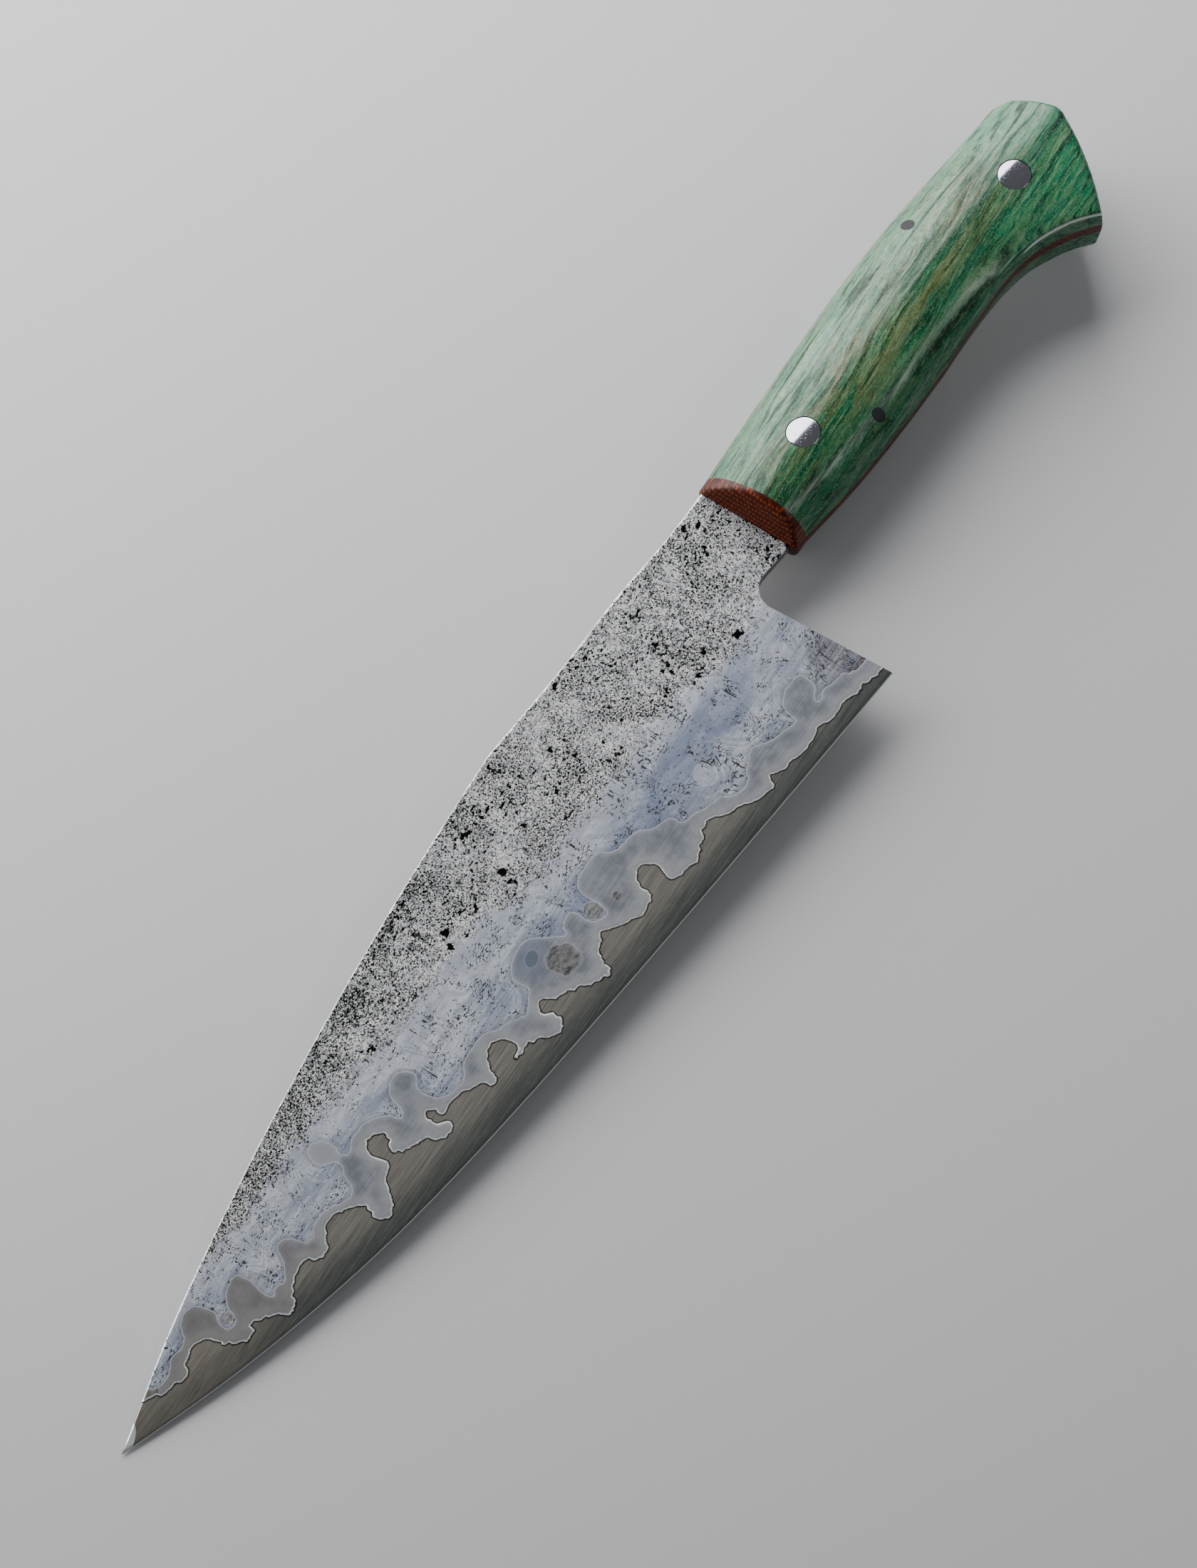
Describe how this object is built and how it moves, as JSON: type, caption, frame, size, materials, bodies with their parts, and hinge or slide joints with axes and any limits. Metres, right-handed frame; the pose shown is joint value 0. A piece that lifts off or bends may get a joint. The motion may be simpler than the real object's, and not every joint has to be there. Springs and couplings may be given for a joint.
{
  "type": "chef knife",
  "caption": "Forged chef knife: layered steel blade with hidden tang, micarta bolster and frame, and green dyed maple scales held by flush bolts and pins.",
  "frame": {"origin": "centre of the bounding box in plan, at the level of the lowest point of the handle, on which the knife lies", "axes": "+X from tip to butt, +Y from cutting edge to spine, +Z out of the blade's left side, the blade's middle plane level"},
  "size_m": [0.3752, 0.064, 0.0212],
  "materials": {
    "core_steel": "dark etched core steel, long brush lines, bright edge",
    "inner_steel": "light warm-grey brushed layer with a bright weld line",
    "wrought_iron": "wrought iron: pitted forge scale along the spine, bluish polished grain below",
    "micarta": "burnt-orange canvas micarta, polished",
    "dyed_maple": "stabilised figured maple dyed green, satin",
    "bolt_steel": "polished stainless steel with fine scratches",
    "charcoal_pin": "charcoal composite rod, sanded flush",
    "epoxy": "cured amber epoxy, hidden"
  },
  "bodies": {
    "root": {"blade_core": "core_steel", "inner_layer_left": "inner_steel", "inner_layer_right": "inner_steel", "cladding_left": "wrought_iron", "cladding_right": "wrought_iron", "bolster": "micarta", "handle_frame": "micarta", "tang_epoxy": "epoxy", "scale_left": "dyed_maple", "scale_right": "dyed_maple", "handle_bolt_front": "bolt_steel", "handle_nut_front": "bolt_steel", "handle_bolt_rear": "bolt_steel", "handle_nut_rear": "bolt_steel", "small_pin_spine": "charcoal_pin", "small_pin_belly": "charcoal_pin"}
  },
  "joints": []
}
